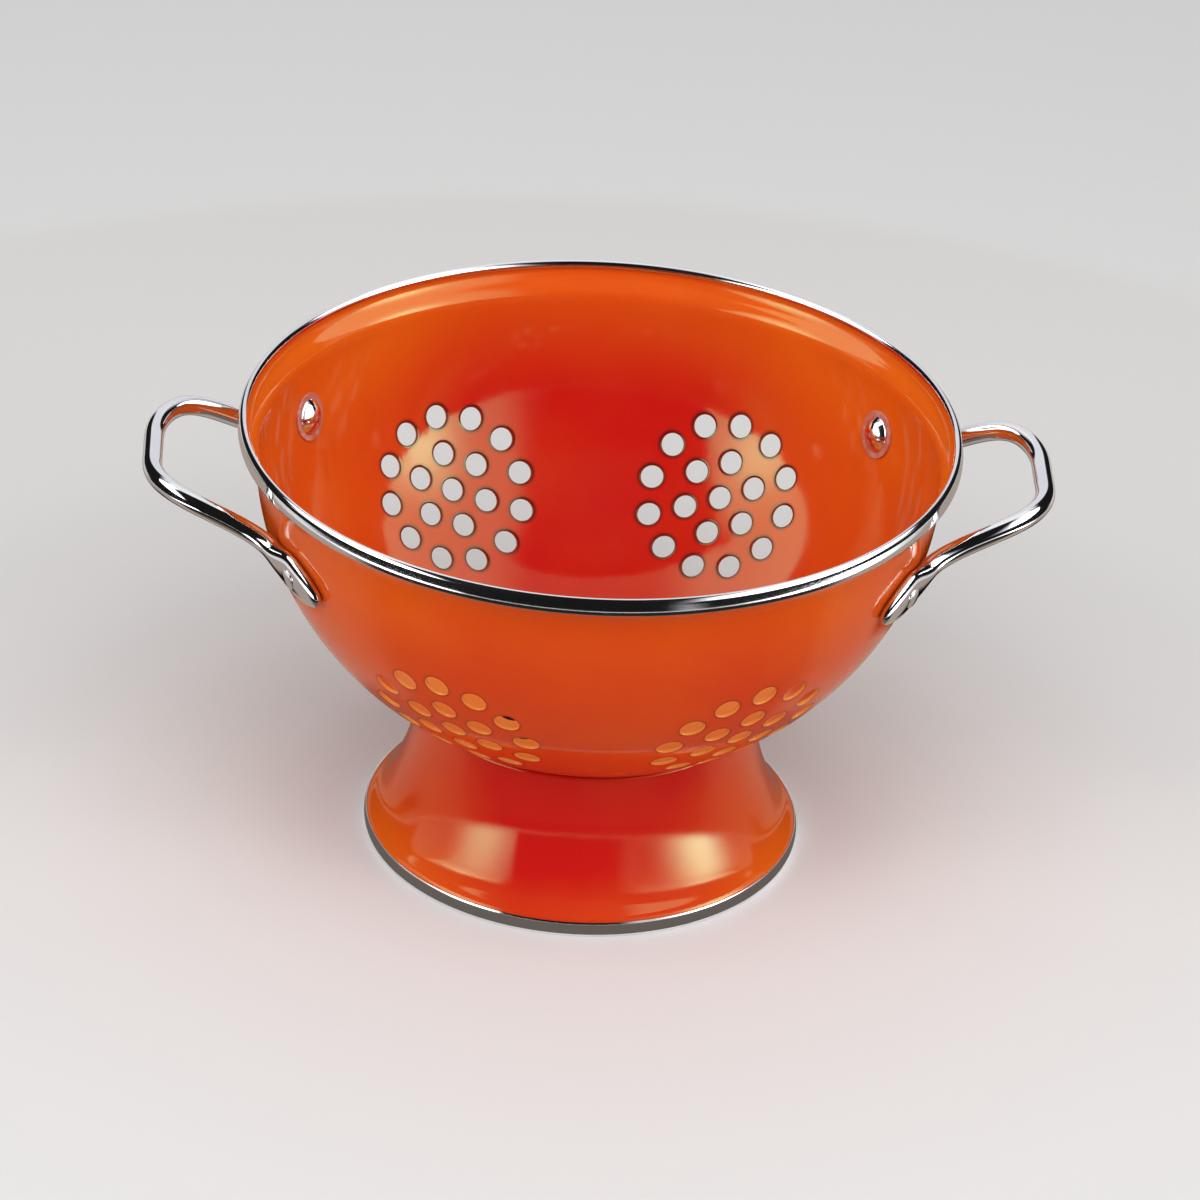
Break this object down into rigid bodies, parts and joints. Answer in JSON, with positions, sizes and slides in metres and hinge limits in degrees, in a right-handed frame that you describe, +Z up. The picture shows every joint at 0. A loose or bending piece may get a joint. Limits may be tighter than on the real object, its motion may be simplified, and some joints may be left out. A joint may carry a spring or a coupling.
{
  "type": "footed colander",
  "caption": "Deep round enamelled colander with clusters of drain holes, a flared pedestal foot, steel edge trims and riveted loop handles.",
  "frame": {"origin": "on the table, below the centre of the bowl", "axes": "+Z up along the bowl's axis, +X towards the right handle, the left handle on -X, and the clusters of holes to the front and back, towards -Y and +Y"},
  "size_m": [0.302, 0.24, 0.155],
  "materials": {
    "red_enamel": "glossy vitreous enamel on pressed steel",
    "polished_trim": "polished stainless steel edging",
    "plated_wire": "bright plated round steel bar",
    "rivet_steel": "polished rivet",
    "washer_plastic": "thin pale translucent sealing washer"
  },
  "bodies": {
    "root": {"bowl": "red_enamel", "foot": "red_enamel", "foot_trim": "polished_trim", "handle_left": "plated_wire", "handle_right": "plated_wire", "rim_trim": "polished_trim", "rivet_left_back": "rivet_steel", "rivet_left_front": "rivet_steel", "rivet_right_back": "rivet_steel", "rivet_right_front": "rivet_steel", "washer_left_back": "washer_plastic", "washer_left_front": "washer_plastic", "washer_right_back": "washer_plastic", "washer_right_front": "washer_plastic"}
  },
  "joints": []
}
